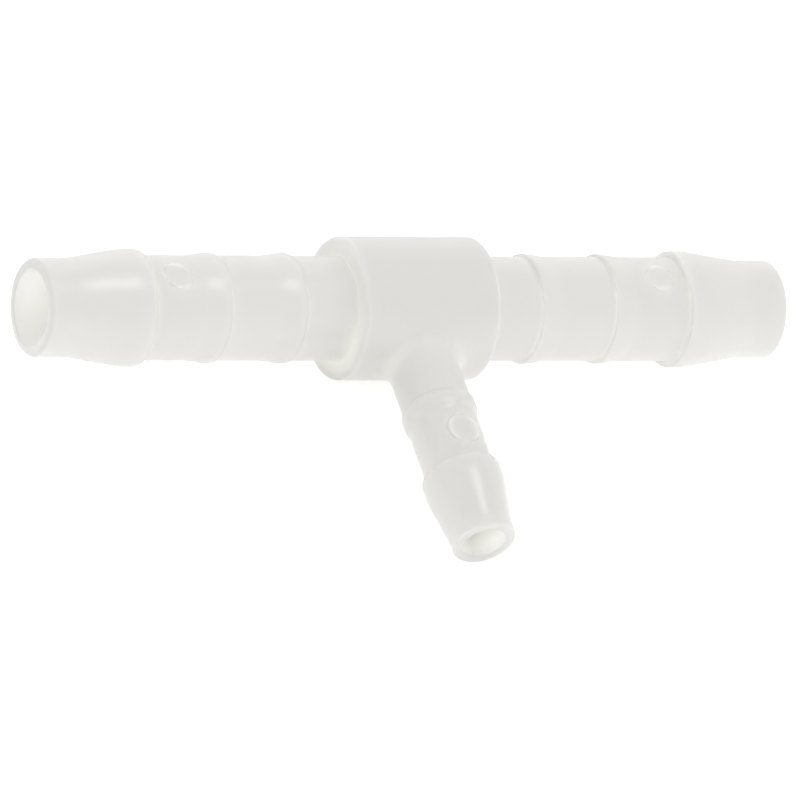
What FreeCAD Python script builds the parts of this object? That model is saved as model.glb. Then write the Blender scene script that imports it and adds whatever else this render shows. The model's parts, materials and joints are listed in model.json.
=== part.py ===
"""Reducing hose tee for a drip line, moulded in one piece: two equal barbed tails on one straight
run, a thicker barrel where they meet, and a smaller barbed tail branching off at a right angle.

Millimetres. The origin is the crossing of the run's axis and the branch's axis. The run lies along X.
The tee lies as it comes to rest on a table, on its barrel and on the open end of its branch, so the
branch points to -Y and droops a few degrees."""
import FreeCAD, Part
import math
import os
import Sketcher

NODE = "drip_line_tee"

# Driving sizes, in millimetres
SIZES = {
    # Run tails, for a hose of 12 mm bore; the reach is from the crossing to either open end
    "run_reach": 48.6,
    "run_tip_diameter": 11.6,
    "run_tip_length": 4.45,
    "run_ramp_length": 7.0,
    "run_crest_diameter": 13.8,
    "run_crest_land": 1.9,
    "run_stem_diameter": 12.35,
    "run_ring_diameter": 13.0,
    "run_ring_land": 0.85,
    "run_ring_ramp": 2.15,
    "run_ring_pitch": 9.85,
    "run_bore_diameter": 9.0,
    "run_rim_chamfer": 0.35,
    # Branch tail, for a hose of 8 mm bore
    "branch_reach": 34.6,
    "branch_tip_diameter": 7.7,
    "branch_tip_length": 1.7,
    "branch_ramp_length": 6.05,
    "branch_crest_diameter": 9.55,
    "branch_crest_land": 2.1,
    "branch_stem_diameter": 8.3,
    "branch_ring_diameter": 8.95,
    "branch_ring_land": 1.5,
    "branch_ring_ramp": 0.9,
    "branch_ring_pitch": 9.6,
    "branch_bore_diameter": 5.2,
    "branch_rim_chamfer": 0.2,
    # Barrel in the middle of the run, and the fillet where the branch grows out of it
    "barrel_diameter": 16.9,
    "barrel_length": 17.8,
    "barrel_edge_radius": 0.5,
    "root_radius": 2.0,
    # Chamfer of the bores' mouths
    "mouth_chamfer": 0.15,
    # Flat round marks of the mould's ejector pins on the crown of each tail, just behind its barb;
    # each is sunk a little below the crown and stands proud where the tail curves away under it
    "run_mark_diameter": 3.6,
    "run_mark_setback": 3.45,
    "branch_mark_diameter": 4.0,
    "branch_mark_setback": 4.0,
    "mark_sink": 0.08,
}
RUN_RINGS = 2
BRANCH_RINGS = 1
# A match of two lengths, in millimetres
CLOSE = 1e-4


def cell(name):
    """The spreadsheet cell of a driving size, as an expression names it."""
    return "Sizes." + name


def make_sheet(doc):
    """Write every driving size into a sheet: its name beside its number."""
    sheet = doc.addObject("Spreadsheet::Sheet", "Sizes")
    for row, (name, value) in enumerate(SIZES.items(), start=1):
        sheet.set("A%d" % row, name)
        sheet.set("B%d" % row, str(value))
        sheet.setAlias("B%d" % row, name)
    doc.recompute()


def origin_plane(body, role):
    """One of the body's own origin planes."""
    return next(feature for feature in body.Origin.OriginFeatures if feature.Role == role)


def new_sketch(body, name, role):
    """An empty sketch that lies on one of the body's origin planes."""
    sketch = body.newObject("Sketcher::SketchObject", name)
    sketch.AttachmentSupport = [(origin_plane(body, role), "")]
    sketch.MapMode = "FlatFace"
    return sketch


def drive(sketch, constraint, name, expression):
    """Add a dimension and bind it to the sheet."""
    index = sketch.addConstraint(constraint)
    sketch.renameConstraint(index, name)
    sketch.setExpression("Constraints." + name, expression)


def circle_at(sketch, station, diameter_name, station_expression=None):
    """Draw a circle on the sketch's horizontal axis, bound to its diameter and its station."""
    centre = FreeCAD.Vector(station, 0, 0)
    circle = Part.Circle(centre, FreeCAD.Vector(0, 0, 1), SIZES[diameter_name] / 2)
    index = sketch.addGeometry(circle, False)
    label = "circle%d_" % index
    drive(sketch, Sketcher.Constraint("Diameter", index, SIZES[diameter_name]),
          label + "diameter", cell(diameter_name))
    if station_expression is None:
        sketch.addConstraint(Sketcher.Constraint("Coincident", index, 3, -1, 1))
        return
    sketch.addConstraint(Sketcher.Constraint("PointOnObject", index, 3, -1))
    if station > 0:
        place = Sketcher.Constraint("DistanceX", -1, 1, index, 3, station)
    else:
        place = Sketcher.Constraint("DistanceX", index, 3, -1, 1, -station)
    drive(sketch, place, label + "station", station_expression)


def tail_outline(tail, rings):
    """Half section of a tail, walked from its open end to the crossing. It gives the corners as
    (station, radius), the spans that place them along the axis as (inner corner, outer corner,
    size), and the diameters that place them off it as (corner, size)."""
    def size(name):
        return SIZES["%s_%s" % (tail, name)]

    tip = size("tip_diameter") / 2
    crest = size("crest_diameter") / 2
    stem = size("stem_diameter") / 2
    ring = size("ring_diameter") / 2

    # Open end, plain tip, ramp up to the crest, and the barb's shoulder down to the stem
    ramp_end = size("reach") - size("tip_length")
    crest_end = ramp_end - size("ramp_length")
    shoulder = crest_end - size("crest_land")
    corners = [(size("reach"), 0), (size("reach"), tip), (ramp_end, tip), (crest_end, crest),
               (shoulder, crest), (shoulder, stem)]
    spans = [(2, 1, "tip_length"), (3, 2, "ramp_length"), (4, 3, "crest_land")]
    diameters = [(1, "tip_diameter"), (3, "crest_diameter"), (5, "stem_diameter")]

    # Rings on the stem, each a low barb of its own with its shoulder towards the barrel
    for _ in range(rings):
        foot = len(corners)
        last_shoulder = foot - 1
        shoulder -= size("ring_pitch")
        land_end = shoulder + size("ring_land")
        corners += [(land_end + size("ring_ramp"), stem), (land_end, ring),
                    (shoulder, ring), (shoulder, stem)]
        spans += [(foot + 1, foot, "ring_ramp"), (foot + 2, foot + 1, "ring_land"),
                  (foot + 3, last_shoulder, "ring_pitch")]
        diameters += [(foot + 1, "ring_diameter"), (foot + 3, "stem_diameter")]

    # The stem runs on to the crossing, inside the barrel
    corners += [(0, stem), (0, 0)]
    return corners, spans, diameters


def add_tail(body, tail, rings, turn):
    """Turn a tail about its own axis, which lies in the XY plane at the angle turn from X."""
    corners, spans, diameters = tail_outline(tail, rings)
    sketch = new_sketch(body, tail + "_tail_outline", "XY_Plane")
    sketch.AttachmentOffset = FreeCAD.Placement(
        FreeCAD.Vector(), FreeCAD.Rotation(FreeCAD.Vector(0, 0, 1), turn))

    # One line from each corner to the next, level or upright where its two corners are
    points = [FreeCAD.Vector(station, radius, 0) for station, radius in corners]
    count = len(points)
    for index in range(count):
        sketch.addGeometry(Part.LineSegment(points[index], points[(index + 1) % count]), False)
    for index in range(count):
        following = (index + 1) % count
        sketch.addConstraint(Sketcher.Constraint("Coincident", index, 2, following, 1))
        run = corners[following][0] - corners[index][0]
        rise = corners[following][1] - corners[index][1]
        if abs(run) < CLOSE:
            sketch.addConstraint(Sketcher.Constraint("Vertical", index))
        elif abs(rise) < CLOSE:
            sketch.addConstraint(Sketcher.Constraint("Horizontal", index))

    # The last corner is the crossing, and the sizes place the rest
    sketch.addConstraint(Sketcher.Constraint("Coincident", count - 1, 1, -1, 1))
    drive(sketch, Sketcher.Constraint("DistanceX", -1, 1, 0, 1, corners[0][0]),
          "reach", cell(tail + "_reach"))
    for inner, outer, name in spans:
        length = corners[outer][0] - corners[inner][0]
        drive(sketch, Sketcher.Constraint("DistanceX", inner, 1, outer, 1, length),
              "%s%d" % (name, inner), cell("%s_%s" % (tail, name)))
    for corner, name in diameters:
        drive(sketch, Sketcher.Constraint("DistanceY", -1, 1, corner, 1, corners[corner][1]),
              "%s%d" % (name, corner), cell("%s_%s" % (tail, name)) + " / 2")

    turned = body.newObject("PartDesign::Revolution", tail + "_tail")
    turned.Profile = sketch
    turned.ReferenceAxis = (sketch, ["H_Axis"])
    turned.Angle = 360
    return turned


def add_barrel(body):
    """The thick plain cylinder in the middle of the run."""
    sketch = new_sketch(body, "barrel_section", "YZ_Plane")
    circle_at(sketch, 0, "barrel_diameter")
    barrel = body.newObject("PartDesign::Pad", "barrel")
    barrel.Profile = sketch
    barrel.SideType = "Symmetric"
    barrel.setExpression("Length", cell("barrel_length"))
    return barrel


def add_second_run_tail(body, first):
    """The run's other tail, the first one's mirror image."""
    mirrored = body.newObject("PartDesign::Mirrored", "second_run_tail")
    mirrored.Originals = [first]
    mirrored.MirrorPlane = (origin_plane(body, "YZ_Plane"), [""])
    body.Tip = mirrored
    return mirrored


def round_edges(body, base, name, edges, radius_name):
    """Fillet the named edges of the shape so far."""
    fillet = body.newObject("PartDesign::Fillet", name)
    fillet.Base = (base, edges)
    fillet.setExpression("Radius", cell(radius_name))
    return fillet


def chamfer_edges(body, base, name, edges, size_name):
    """Chamfer the named edges of the shape so far."""
    chamfer = body.newObject("PartDesign::Chamfer", name)
    chamfer.Base = (base, edges)
    chamfer.setExpression("Size", cell(size_name))
    return chamfer


def circular_edges(shape, centres, diameter_name):
    """Names of the circles of that diameter that have one of those centres."""
    names = []
    for number, edge in enumerate(shape.Edges, start=1):
        if not isinstance(edge.Curve, Part.Circle):
            continue
        if abs(edge.Curve.Radius - SIZES[diameter_name] / 2) > CLOSE:
            continue
        if min(edge.Curve.Center.distanceToPoint(centre) for centre in centres) < CLOSE:
            names.append("Edge%d" % number)
    return names


def root_edges(shape):
    """Names of the edges where the branch's stem leaves the barrel's surface."""
    names = []
    for number, edge in enumerate(shape.Edges, start=1):
        middle = edge.valueAt((edge.FirstParameter + edge.LastParameter) / 2)
        off_run = FreeCAD.Vector(0, middle.y, middle.z).Length
        off_branch = FreeCAD.Vector(middle.x, 0, middle.z).Length
        on_barrel = abs(off_run - SIZES["barrel_diameter"] / 2) < CLOSE
        on_stem = abs(off_branch - SIZES["branch_stem_diameter"] / 2) < CLOSE
        if on_barrel and on_stem:
            names.append("Edge%d" % number)
    return names


def mark_station(tail):
    """Distance of a tail's ejector mark from the crossing: its value and its expression."""
    lengths = ["tip_length", "ramp_length", "crest_land", "mark_setback"]
    value = SIZES[tail + "_reach"]
    expression = cell(tail + "_reach")
    for name in lengths:
        value -= SIZES["%s_%s" % (tail, name)]
        expression += " - " + cell("%s_%s" % (tail, name))
    return value, expression


def add_marks(body, tail, turn, sides):
    """Flat ejector marks on the crown of a tail, at its mark station on each of the given sides."""
    sketch = new_sketch(body, tail + "_mark_outline", "XY_Plane")
    sketch.AttachmentOffset = FreeCAD.Placement(
        FreeCAD.Vector(), FreeCAD.Rotation(FreeCAD.Vector(0, 0, 1), turn))
    sketch.setExpression("AttachmentOffset.Base.z",
                         "%s / 2 - %s" % (cell(tail + "_stem_diameter"), cell("mark_sink")))
    station, expression = mark_station(tail)
    for side in sides:
        circle_at(sketch, side * station, tail + "_mark_diameter", expression)

    # The pin fills up to its flat end, and leaves nothing above it
    filled = body.newObject("PartDesign::Pad", tail + "_mark_fill")
    filled.Profile = sketch
    filled.Reversed = True
    filled.setExpression("Length", cell(tail + "_stem_diameter") + " / 2")
    cleared = body.newObject("PartDesign::Pocket", tail + "_mark_face")
    cleared.Profile = sketch
    cleared.Reversed = True
    cleared.Type = "ThroughAll"
    return cleared


def add_run_bore(body):
    """The bore right through the run."""
    sketch = new_sketch(body, "run_bore_section", "YZ_Plane")
    circle_at(sketch, 0, "run_bore_diameter")
    bore = body.newObject("PartDesign::Pocket", "run_bore")
    bore.Profile = sketch
    bore.SideType = "Symmetric"
    bore.Type = "ThroughAll"
    return bore


def add_branch_bore(body):
    """The branch's bore, from the run's bore out through the branch."""
    sketch = new_sketch(body, "branch_bore_section", "XZ_Plane")
    circle_at(sketch, 0, "branch_bore_diameter")
    bore = body.newObject("PartDesign::Pocket", "branch_bore")
    bore.Profile = sketch
    bore.Reversed = True
    bore.Type = "ThroughAll"
    return bore


def rest_tilt():
    """Angle by which the branch droops at rest, as an expression: the barrel lies on the table, and
    the branch turns down about the run's axis until its open end or its crest meets the table."""
    def angle(far, out):
        """Droop at which the circle of radius out, far along the branch, meets the table."""
        drop = cell("barrel_diameter") + " / 2"
        return "asin(%s / hypot(%s; %s)) - atan(%s / %s)" % (drop, far, out, out, far)

    tip_far = "(%s - %s)" % (cell("branch_reach"), cell("branch_rim_chamfer"))
    tip_out = "(%s / 2)" % cell("branch_tip_diameter")
    crest_far = "(%s - %s - %s)" % (
        cell("branch_reach"), cell("branch_tip_length"), cell("branch_ramp_length"))
    crest_out = "(%s / 2)" % cell("branch_crest_diameter")
    return "min(%s; %s)" % (angle(tip_far, tip_out), angle(crest_far, crest_out))


def make_tee(doc):
    """The whole tee, as one body."""
    body = doc.addObject("PartDesign::Body", NODE)
    body.Label = NODE
    along_run = FreeCAD.Vector(1, 0, 0)
    along_branch = FreeCAD.Vector(0, -1, 0)
    half_barrel = SIZES["barrel_length"] / 2

    # Outer form
    add_barrel(body)
    run_tail = add_tail(body, "run", RUN_RINGS, turn=0)
    add_second_run_tail(body, run_tail)
    branch_tail = add_tail(body, "branch", BRANCH_RINGS, turn=-90)
    doc.recompute()
    root = round_edges(body, branch_tail, "branch_root", root_edges(branch_tail.Shape), "root_radius")
    doc.recompute()
    barrel_ends = [along_run * half_barrel, along_run * -half_barrel]
    edges = circular_edges(root.Shape, barrel_ends, "barrel_diameter")
    round_edges(body, root, "barrel_edges", edges, "barrel_edge_radius")

    # Ejector marks
    add_marks(body, "run", turn=0, sides=(1, -1))
    marked = add_marks(body, "branch", turn=-90, sides=(1,))
    doc.recompute()

    # Chamfered rims of the open ends
    run_ends = [along_run * SIZES["run_reach"], along_run * -SIZES["run_reach"]]
    branch_end = [along_branch * SIZES["branch_reach"]]
    edges = circular_edges(marked.Shape, run_ends, "run_tip_diameter")
    run_rims = chamfer_edges(body, marked, "run_rims", edges, "run_rim_chamfer")
    doc.recompute()
    edges = circular_edges(run_rims.Shape, branch_end, "branch_tip_diameter")
    chamfer_edges(body, run_rims, "branch_rim", edges, "branch_rim_chamfer")

    # Bores, with chamfered mouths
    add_run_bore(body)
    bored = add_branch_bore(body)
    doc.recompute()
    mouths = circular_edges(bored.Shape, run_ends, "run_bore_diameter")
    mouths += circular_edges(bored.Shape, branch_end, "branch_bore_diameter")
    chamfer_edges(body, bored, "bore_mouths", mouths, "mouth_chamfer")

    body.Placement = FreeCAD.Placement(FreeCAD.Vector(), FreeCAD.Rotation(along_run, 1))
    body.setExpression("Placement.Rotation.Angle", rest_tilt())
    doc.recompute()
    return body


def check_document(doc):
    """Stop if any object of the document failed."""
    for item in doc.Objects:
        if "Invalid" in item.State or "Error" in item.State:
            raise RuntimeError("%s failed: %s" % (item.Name, item.State))


def check_shape(body):
    """Stop if the sub-part is not one sound solid."""
    shape = body.Shape
    if shape.isNull() or not shape.isValid():
        raise RuntimeError("%s is not a valid shape" % body.Label)
    if len(shape.Solids) != 1:
        raise RuntimeError("%s is %d solids" % (body.Label, len(shape.Solids)))


document = FreeCAD.newDocument("drip_line_tee_model")
make_sheet(document)
tee = make_tee(document)
check_document(document)
check_shape(tee)
os.makedirs("parts", exist_ok=True)
tee.Shape.exportStep("parts/%s.step" % tee.Label)
droop = math.degrees(tee.Placement.Rotation.Angle)
print("%s: %.1f mm3, droop %.3f degrees" % (tee.Label, tee.Shape.Volume, droop))
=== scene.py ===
"""A drip line tee of natural plastic, lying on a white table."""

import json
import math

import bmesh
import bpy
from mathutils import Matrix, Vector


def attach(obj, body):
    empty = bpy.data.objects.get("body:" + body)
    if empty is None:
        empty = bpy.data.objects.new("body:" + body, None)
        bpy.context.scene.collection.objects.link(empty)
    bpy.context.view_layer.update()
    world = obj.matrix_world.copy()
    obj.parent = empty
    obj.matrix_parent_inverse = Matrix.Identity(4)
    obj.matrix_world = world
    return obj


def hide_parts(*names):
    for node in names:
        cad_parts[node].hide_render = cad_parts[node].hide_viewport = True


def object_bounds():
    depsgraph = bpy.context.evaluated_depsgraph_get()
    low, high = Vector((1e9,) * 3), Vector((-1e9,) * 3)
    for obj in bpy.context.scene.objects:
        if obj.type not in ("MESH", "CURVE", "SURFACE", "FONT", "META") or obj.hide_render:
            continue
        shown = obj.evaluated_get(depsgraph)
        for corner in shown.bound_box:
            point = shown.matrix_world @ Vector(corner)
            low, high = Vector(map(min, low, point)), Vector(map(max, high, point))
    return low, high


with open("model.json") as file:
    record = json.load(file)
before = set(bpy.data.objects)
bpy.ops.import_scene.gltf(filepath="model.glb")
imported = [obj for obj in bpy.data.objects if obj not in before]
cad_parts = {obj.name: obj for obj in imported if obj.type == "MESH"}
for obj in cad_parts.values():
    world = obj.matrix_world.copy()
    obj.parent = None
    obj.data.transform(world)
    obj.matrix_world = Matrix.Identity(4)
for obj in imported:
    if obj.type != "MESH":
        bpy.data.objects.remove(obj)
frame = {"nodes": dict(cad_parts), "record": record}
cad_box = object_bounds()


# Tee. One injection moulding of natural, unpigmented polypropylene: milky, a little translucent, with a
# satin skin. Its mould parts in the plane of its two axes and leaves a hair-thin line of flash there,
# and polishing the mould has softened every corner of the turned forms.

MM = 0.001
tee_node = frame["nodes"]["drip_line_tee"]
branch_mount = next(mount for mount in frame["record"]["mounts"] if mount["name"] == "branch_tail")
run_axis = Vector((1, 0, 0))
branch_axis = Vector(branch_mount["axis"])
crown = branch_axis.cross(run_axis)

# Radii of the run's and the branch's forms, and the stations of their ends and rear edges along the
# axis, in millimetres from the crossing
run_bore, run_tip, run_barb, run_ring, run_stem = 4.5, 5.8, 6.9, 6.5, 6.175
run_end, run_barb_back, outer_ring_back, inner_ring_back = 48.6, 35.25, 25.4, 15.55
branch_bore, branch_tip, branch_barb, branch_ring, branch_stem = 2.6, 3.85, 4.775, 4.475, 4.15
branch_end, branch_barb_back, branch_ring_back = 34.6, 24.75, 15.15

# Corners of the turned forms: station, radius, and how far the rounding reaches on each side of the
# corner, in millimetres, from the bore's mouth inwards
run_corners = (
    (run_end, 4.65, 0.08), (48.45, run_bore, 0.08), (run_end, 5.45, 0.12), (48.25, run_tip, 0.12),
    (44.15, run_tip, 0.8), (37.15, run_barb, 0.7),
    (run_barb_back, run_barb, 0.16), (run_barb_back, run_stem, 0.14),
    (28.4, run_stem, 0.5), (26.25, run_ring, 0.3),
    (outer_ring_back, run_ring, 0.14), (outer_ring_back, run_stem, 0.12),
    (18.55, run_stem, 0.5), (16.4, run_ring, 0.3),
    (inner_ring_back, run_ring, 0.14), (inner_ring_back, run_stem, 0.12),
    (8.9, run_stem, 0.2))
branch_corners = (
    (branch_end, 2.75, 0.06), (34.45, branch_bore, 0.06),
    (branch_end, 3.65, 0.08), (34.4, branch_tip, 0.08),
    (32.9, branch_tip, 0.5), (26.85, branch_barb, 0.6),
    (branch_barb_back, branch_barb, 0.16), (branch_barb_back, branch_stem, 0.14),
    (17.55, branch_stem, 0.3), (16.65, branch_ring, 0.3),
    (branch_ring_back, branch_ring, 0.14), (branch_ring_back, branch_stem, 0.12))


def corner_edges(mesh, axis, station, radius):
    """Edges of the circle at that station and radius round an axis, in millimetres."""
    def on_circle(vert):
        along = vert.co.dot(axis)
        off = (vert.co - axis * along).length
        return abs(along - station * MM) < 0.01 * MM and abs(off - radius * MM) < 0.03 * MM
    return [edge for edge in mesh.edges if on_circle(edge.verts[0]) and on_circle(edge.verts[1])]


def soften(mesh, axis, corners):
    """Round the corners of a turned form."""
    for station, radius, reach in corners:
        edges = corner_edges(mesh, axis, station, radius)
        bmesh.ops.bevel(mesh, geom=edges, offset=reach * MM, offset_type="OFFSET", segments=3,
                        profile=0.5, affect="EDGES", material=-1)


tee_form = bmesh.new()
tee_form.from_mesh(tee_node.data)
bmesh.ops.remove_doubles(tee_form, verts=tee_form.verts, dist=0.001 * MM)
soften(tee_form, run_axis, run_corners)
soften(tee_form, -run_axis, run_corners)
soften(tee_form, branch_axis, branch_corners)
for face in tee_form.faces:
    face.smooth = True
tee_mesh = bpy.data.meshes.new("tee")
tee_form.to_mesh(tee_mesh)
tee_form.free()
tee_mesh.set_sharp_from_angle(angle=math.radians(32))
tee = bpy.data.objects.new("tee", tee_mesh)
bpy.context.scene.collection.objects.link(tee)
flats = tee.modifiers.new("flats stay flat", "WEIGHTED_NORMAL")
flats.mode = "FACE_AREA"
flats.keep_sharp = True

# The stems' facets are shaded as the true cylinders that they stand for, and the ejector marks as flats
mark_sink, close = 0.08 * MM, 0.01 * MM
weighted = tee.evaluated_get(bpy.context.evaluated_depsgraph_get()).data
normals = [corner.vector.copy() for corner in weighted.corner_normals]
for face in tee_mesh.polygons:
    points = [tee_mesh.vertices[vertex].co for vertex in face.vertices]
    for axis, stem in ((run_axis, run_stem * MM), (branch_axis, branch_stem * MM)):
        outward = [point - axis * point.dot(axis) for point in points]
        on_stem = all(abs(off_axis.length - stem) < close and face.normal.dot(off_axis) > 0.99 * stem
                      for off_axis in outward)
        on_mark = (face.normal.dot(crown) > 0.9999
                   and abs(points[0].dot(crown) - (stem - mark_sink)) < close)
        for loop, off_axis in zip(face.loop_indices, outward):
            if on_mark:
                normals[loop] = crown
            elif on_stem:
                normals[loop] = off_axis.normalized()
tee.modifiers.remove(flats)
tee_mesh.normals_split_custom_set(normals)


class Link:
    """One output of a material's nodes. Arithmetic on it adds the nodes that work it out."""

    def __init__(self, tree, socket=None):
        self.tree, self.socket = tree, socket

    def node(self, kind, settings={}, sockets={}, output=0):
        """Add a node: its settings first, then a value or a link for each of its sockets."""
        made = self.tree.nodes.new("ShaderNode" + kind)
        for name, value in settings.items():
            setattr(made, name, value)
        for name, value in sockets.items():
            if isinstance(value, Link):
                self.tree.links.new(value.socket, made.inputs[name])
            else:
                made.inputs[name].default_value = value
        return Link(self.tree, made.outputs[output]) if made.outputs else None

    def maths(self, operation, *values):
        """Add a Math node."""
        return self.node("Math", {"operation": operation}, dict(enumerate(values)))

    def __add__(self, other):
        return self.maths("ADD", self, other)

    def __radd__(self, other):
        return self.maths("ADD", other, self)

    def __sub__(self, other):
        return self.maths("SUBTRACT", self, other)

    def __rsub__(self, other):
        return self.maths("SUBTRACT", other, self)

    def __mul__(self, other):
        return self.maths("MULTIPLY", self, other)

    def __rmul__(self, other):
        return self.maths("MULTIPLY", other, self)

    def __truediv__(self, other):
        return self.maths("DIVIDE", self, other)

    def __rtruediv__(self, other):
        return self.maths("DIVIDE", other, self)

    def __gt__(self, other):
        return self.maths("GREATER_THAN", self, other)

    def __lt__(self, other):
        return self.maths("LESS_THAN", self, other)

    def __abs__(self):
        return self.maths("ABSOLUTE", self)

    def clamped(self):
        """Held between 0 and 1."""
        return self.maths("MINIMUM", self.maths("MAXIMUM", self, 0.0), 1.0)


def larger(one, other):
    """The larger of two values."""
    return one.maths("MAXIMUM", one, other)


def hypotenuse(one, other):
    """Length of the line whose two parts at a right angle are these."""
    return one.maths("SQRT", one * one + other * other)


def rise(distance, reach):
    """0 up to no distance, and 1 from that reach on, in millimetres."""
    return (distance / (reach * MM)).clamped()


def fade(distance, reach):
    """1 up to no distance, and 0 from that reach on, in millimetres."""
    return (1 - distance / (reach * MM)).clamped()


def part_along(vector, axis):
    """How far a vector reaches along an axis."""
    return vector.node("VectorMath", {"operation": "DOT_PRODUCT"}, {0: vector, 1: axis}, "Value")


def mix_colours(share, base, over):
    """The base colour with a share of the other over it."""
    return share.node("Mix", {"data_type": "RGBA"}, {"Factor": share, "A": base, "B": over}, "Result")


def mix_shaders(share, base, over):
    """The base shader with a share of the other over it."""
    return share.node("MixShader", sockets={0: share, 1: base, 2: over})


def near_circles(along_axis, off_axis, circles, reach):
    """1 on circles of these stations and radii round an axis, fading over that reach, in millimetres."""
    return sum(fade(hypotenuse(along_axis - station * MM, off_axis - radius * MM), reach)
               for station, radius in circles)


def new_material(name):
    """A material without nodes, and the Link that adds them."""
    made = bpy.data.materials.new(name)
    made.use_nodes = True
    made.node_tree.nodes.clear()
    return made, Link(made.node_tree)


plastic, plastic_nodes = new_material("natural_plastic")
spot = plastic_nodes.node("TexCoord", output="Object")
along_run = part_along(spot, run_axis)
along_branch = part_along(spot, branch_axis)
above = part_along(spot, crown)
off_run = hypotenuse(along_branch, above)
off_branch = hypotenuse(along_run, above)


def cloud(size, detail):
    """Soft noise from 0 to 1, in blobs of about that size in millimetres."""
    return spot.node("TexNoise", sockets={
        "Vector": spot, "Scale": 1 / (size * MM), "Detail": detail, "Roughness": 0.55}, output="Fac")


# Flash stands on the outside alone: plain pins shape the bores
outside = (off_run > 5.2 * MM) * (1 - (off_branch < 3.1 * MM) * (along_branch > 0.0))
flash = fade(abs(above), 0.09) * outside

# The melt leaves faint clouds in the body, and the mould's skin is satin and not quite even
clouds = cloud(5.0, 3.0)
skin = cloud(0.35, 2.0)
swell = cloud(9.0, 1.0)
milk = mix_colours(clouds, (0.843, 0.836, 0.800, 1), (0.875, 0.868, 0.833, 1))

# Painted shade: the thick barrel is painted darker than the tails, and the rims of the run a little
# darker
barrel_painted_shade = (0.815, 0.808, 0.780, 1)
rim_painted_shade = (0.755, 0.749, 0.722, 1)
in_barrel = fade(abs(along_run) - 8.0 * MM, 1.6) * rise(off_run - 6.3 * MM, 1.5)
rims = rise(abs(along_run) - 48.1 * MM, 0.35)
body_painted_shade = mix_colours(rims, mix_colours(in_barrel, milk, barrel_painted_shade), rim_painted_shade)

# Painted light: the corners at the feet of the forms are painted lighter, as light coming through them,
# and the lower halves of the right tail's shoulders lighter, as light thrown back by the white table
painted_light_milk = (0.96, 0.955, 0.93, 1)
run_edges = ((run_barb_back, run_barb), (outer_ring_back, run_ring), (inner_ring_back, run_ring))
run_feet = tuple((station, run_stem) for station, radius in run_edges)
branch_edges = ((branch_barb_back, branch_barb), (branch_ring_back, branch_ring))
branch_feet = tuple((station, branch_stem) for station, radius in branch_edges)
feet = (near_circles(abs(along_run), off_run, run_feet, 0.45)
        + near_circles(along_branch, off_branch, branch_feet, 0.4)).clamped()
downward = (0.8 * along_branch - 0.6 * above) / off_run
painted_table_light = (1.5 * downward - 0.1).clamped() * (
    0.5 * near_circles(along_run, off_run, ((35.2, 6.55), (35.2, 6.3), (25.35, 6.35)), 0.5).clamped()
    + 0.9 * near_circles(along_run, off_run, ((15.5, 6.35),), 0.5))
body_painted_light = mix_colours(larger(0.4 * feet, painted_table_light), body_painted_shade, painted_light_milk)

# Painted shade: the corners that lie upwards, the outlines of the ejector marks, and the edges of the
# left tail and of the branch's barb are painted darker in one grey, as shade
shade_grey = (0.62, 0.61, 0.58, 1)
upward_on_run = (2.0 * (0.7 * above - 0.6 * along_branch) / off_run - 0.8).clamped()
upward_on_branch = (2.0 * (0.7 * above - 0.6 * along_run) / off_branch - 0.6).clamped()
upward_corner_shade = (upward_on_run * near_circles(abs(along_run), off_run, run_feet, 0.6)
        + upward_on_branch * near_circles(along_branch, off_branch, branch_feet, 0.5)).clamped()
run_mark, run_mark_radius, branch_mark, branch_mark_radius = 31.8, 1.8, 20.75, 2.0
outline = 0.16
from_run_mark = hypotenuse(abs(along_run) - run_mark * MM, along_branch)
from_branch_mark = hypotenuse(along_branch - branch_mark * MM, along_run)
# Painted shade in the outlines of the ejector marks on their upper side; the same mask also makes them
# rougher
mark_outlines = (above > 0.0) * (
    0.5 * fade(abs(from_run_mark - run_mark_radius * MM), outline)
    + 0.75 * fade(abs(from_branch_mark - branch_mark_radius * MM), outline))
edge_shade = (0.35 * near_circles(0.0 - along_run, off_run, run_edges, 0.45)
         + 0.2 * near_circles(along_branch, off_branch, branch_edges[:1], 0.4))
outer_colour = mix_colours(larger(0.7 * upward_corner_shade, mark_outlines + edge_shade), body_painted_light, shade_grey)

# Painted light: the bores are painted lighter than the body away from their mouths, as the light that
# comes through their walls, and darker at the mouths
painted_bore_mouth = (0.785, 0.783, 0.768, 1)
wide_bore_painted_light = (0.875, 0.875, 0.865, 1)
narrow_bore_painted_light = (0.915, 0.915, 0.905, 1)
in_run_bore = off_run < (run_bore + 0.05) * MM
in_branch_bore = (off_branch < (branch_bore + 0.05) * MM) * (along_branch > 0.0)
in_bores = larger(in_run_bore, in_branch_bore)
down_run_bore = rise((run_end - 0.1) * MM - abs(along_run), 4.0)
down_branch_bore = rise((branch_end - 0.1) * MM - along_branch, 2.2)
bore_painted_light = mix_colours(in_run_bore, mix_colours(down_branch_bore, painted_bore_mouth, narrow_bore_painted_light),
                          mix_colours(down_run_bore, painted_bore_mouth, wide_bore_painted_light))
colour = mix_colours(in_bores, outer_colour, bore_painted_light)

# The edges of the barbs, the rings and the barrel are worn duller than the faces between them
barrel_edge = ((8.8, 8.35),)
edges = (near_circles(abs(along_run), off_run, run_edges + barrel_edge, 0.4)
         + near_circles(along_branch, off_branch, branch_edges, 0.4)).clamped()
dull = (edges + mark_outlines).clamped()
relief = flash * (0.01 * MM) + skin * (0.003 * MM) + swell * (0.05 * MM)
bump = relief.node("Bump", sockets={"Strength": 1.0, "Distance": 1.0, "Height": relief})


def milky_plastic(reach):
    """The plastic, where light from outside comes through from that far away, in millimetres."""
    return colour.node("BsdfPrincipled", {"subsurface_method": "BURLEY"}, {
        "Base Color": colour,
        "Roughness": 0.29 + 0.07 * clouds + 0.3 * dull,
        "Subsurface Weight": 1.0,
        "Subsurface Radius": (1.0, 0.97, 0.90),
        "Subsurface Scale": reach * MM,
        "IOR": 1.49,
        "Coat Weight": 1 - dull,
        "Coat Roughness": 0.3,
        "Coat IOR": 1.5,
        "Normal": bump})


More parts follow.
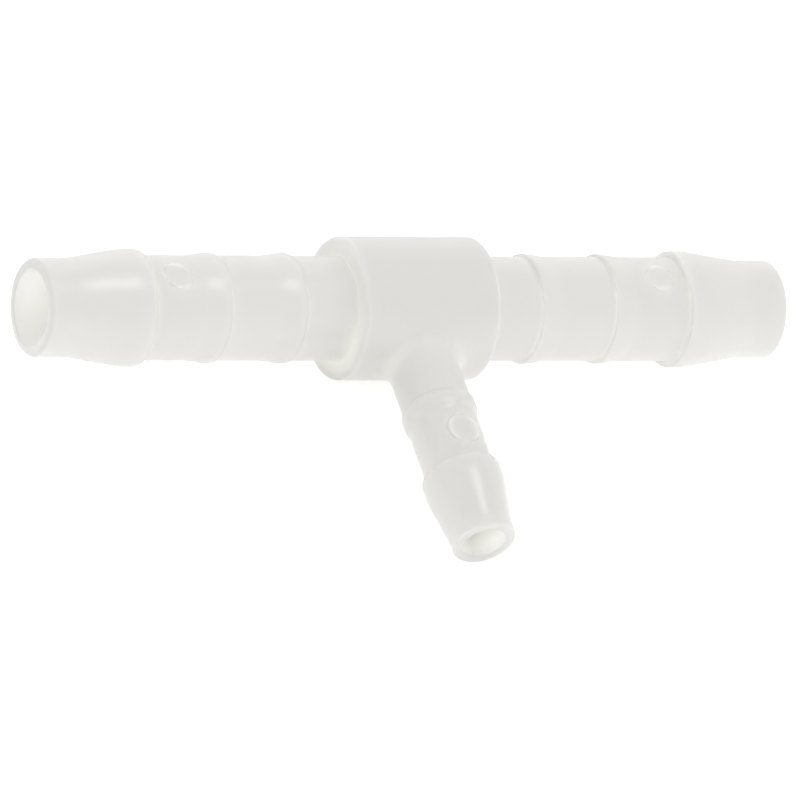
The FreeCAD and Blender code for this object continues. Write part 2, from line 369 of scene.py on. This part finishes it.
# The bores, the branch's root and the lower feet of the barrel are lit through the walls round them,
# from farther away, and the edges only from beside them
wall_reach, root_reach, edge_reach = 1.2, 6.0, 0.3
branch_root, barrel_foot = ((9.0, 4.5),), ((8.9, 6.6),)
near_root = near_circles(along_branch, off_branch, branch_root, 6.0)
near_lower_foot = (0.3 + downward).clamped() * near_circles(abs(along_run), off_run, barrel_foot, 2.0)
lit_from_afar = larger(in_bores, (near_root + near_lower_foot).clamped())
body = mix_shaders(lit_from_afar, milky_plastic(wall_reach), milky_plastic(root_reach))
surface = mix_shaders(edges, body, milky_plastic(edge_reach))
plastic_nodes.node("OutputMaterial", sockets={"Surface": surface})
tee_mesh.materials.append(plastic)

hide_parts("drip_line_tee")
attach(tee, "root")


# Table. A matt white laminate sheet in a product studio, that the tee lies on with its barrel and the
# open end of its branch. It looks full white to the camera and still keeps the tee's shadow.

table_side = 2.0
laminate_white = (0.97, 0.97, 0.97, 1)
table_form = bmesh.new()
bmesh.ops.create_grid(table_form, x_segments=1, y_segments=1, size=table_side / 2,
                      matrix=Matrix.Translation((0, 0, cad_box[0].z)))
table_mesh = bpy.data.meshes.new("table")
table_form.to_mesh(table_mesh)
table_form.free()
table = bpy.data.objects.new("table", table_mesh)
bpy.context.scene.collection.objects.link(table)


def ray_kinds(nodes):
    """1 for the camera's own rays, and 1 for those that gloss or glass has turned."""
    camera_ray, glossy_ray, bent_ray = (
        nodes.node("LightPath", output=kind)
        for kind in ("Is Camera Ray", "Is Glossy Ray", "Is Transmission Ray"))
    return camera_ray, larger(glossy_ray, bent_ray)


laminate, laminate_nodes = new_material("white_laminate")
matt = laminate_nodes.node("BsdfPrincipled", sockets={"Base Color": laminate_white, "Roughness": 0.8})
lift = laminate_nodes.node("Emission", sockets={"Strength": 0.5})
lifted = laminate_nodes.node("AddShader", sockets={0: matt, 1: lift})

# The tee's gloss mirrors less of the sheet behind the tee than in front of it, so that its upper
# outlines stay clear: the shine fades over 8 mm, from 6 mm behind the crossing
by_camera, mirrored = ray_kinds(laminate_nodes)
shine_end, shine_fade = 6, 8
rearward = part_along(laminate_nodes.node("TexCoord", output="Object"), (0, 1, 0))
shine = fade(rearward - shine_end * MM, shine_fade)
laminate_nodes.node("OutputMaterial", sockets={
    "Surface": mix_shaders(by_camera + 0.85 * mirrored * shine, matt, lifted)})
table_mesh.materials.append(laminate)


# Light. A white light tent, dimmer overhead and on the lens's side and brighter low down, where the
# white table throws light up. One soft box a metre above it, a little to the right and to the back,
# draws the highlights.

tent = bpy.data.worlds.new("light_tent")
bpy.context.scene.world = tent
tent.use_nodes = True
tent.node_tree.nodes.clear()
tent_nodes = Link(tent.node_tree)
by_camera, mirrored = ray_kinds(tent_nodes)
seen = larger(by_camera, mirrored)
sight = tent_nodes.node("TexCoord", output="Generated")
height = part_along(sight, (0, 0, 1))
behind = part_along(sight, (0, 1, 0)).clamped()
lens_side = sight.maths("POWER", part_along(sight, (-0.46, -0.63, 0.63)).clamped(), 4.0)
low_down = (1 - height / 0.35).clamped()
light = 1.04 - 0.35 * height.clamped() - 0.38 * lens_side + 0.10 * behind + 0.85 * low_down
shown = 0.88 + 0.12 * by_camera
cloth = tent_nodes.node("Background", sockets={
    "Color": (1, 1, 1, 1), "Strength": seen * shown + (1 - seen) * light})
tent_nodes.node("OutputWorld", sockets={"Surface": cloth})

box_side, box_height = 0.3, 1.0
soft_box = bpy.data.lights.new("soft_box", "AREA")
soft_box.shape = "SQUARE"
soft_box.size = box_side
soft_box.energy = 1.0
box_holder = bpy.data.objects.new("soft_box", soft_box)
bpy.context.scene.collection.objects.link(box_holder)
box_holder.location = (0.09 * box_height, 0.065 * box_height, box_height)
box_holder.rotation_euler = Vector(box_holder.location).to_track_quat("Z", "Y").to_euler()


# Camera. A long lens on a stand, to the left of the tee and above it: 36 degrees round from the tee's
# front and 39 degrees above the table. The turn is measured from square on to the run, and the tip from
# the crown towards the branch.

turn, tip = math.radians(27.3), math.radians(37.40)
back = (-math.sin(turn) * run_axis + math.sin(tip) * math.cos(turn) * branch_axis
        + math.cos(tip) * math.cos(turn) * crown)
up = -math.cos(tip) * branch_axis + math.sin(tip) * crown
right = up.cross(back)

# Sizes in the picture, in pixels: its width, the lens's distance, and how far right of the picture's
# centre and above it the crossing of the axes lies
picture_width, pixels_to_tee, crossing_right, crossing_up = 800, 16700.0, 2.0, 91.6
pixel = 0.1176 * MM
aim = -right * (crossing_right * pixel) - up * (crossing_up * pixel)
lens = bpy.data.cameras.new("camera")
lens.sensor_width = 36.0
lens.lens = pixels_to_tee / picture_width * lens.sensor_width
lens.clip_start, lens.clip_end = 0.1, 10.0
camera = bpy.data.objects.new("camera", lens)
bpy.context.scene.collection.objects.link(camera)
stand = Matrix((right, up, back)).transposed().to_4x4()
stand.translation = aim + back * (pixels_to_tee * pixel)
camera.matrix_world = stand
bpy.context.scene.camera = camera
bpy.context.scene.view_settings.view_transform = "Standard"

# Light finds its way far into the narrow bores, from wall to wall
bpy.context.scene.cycles.diffuse_bounces = 12
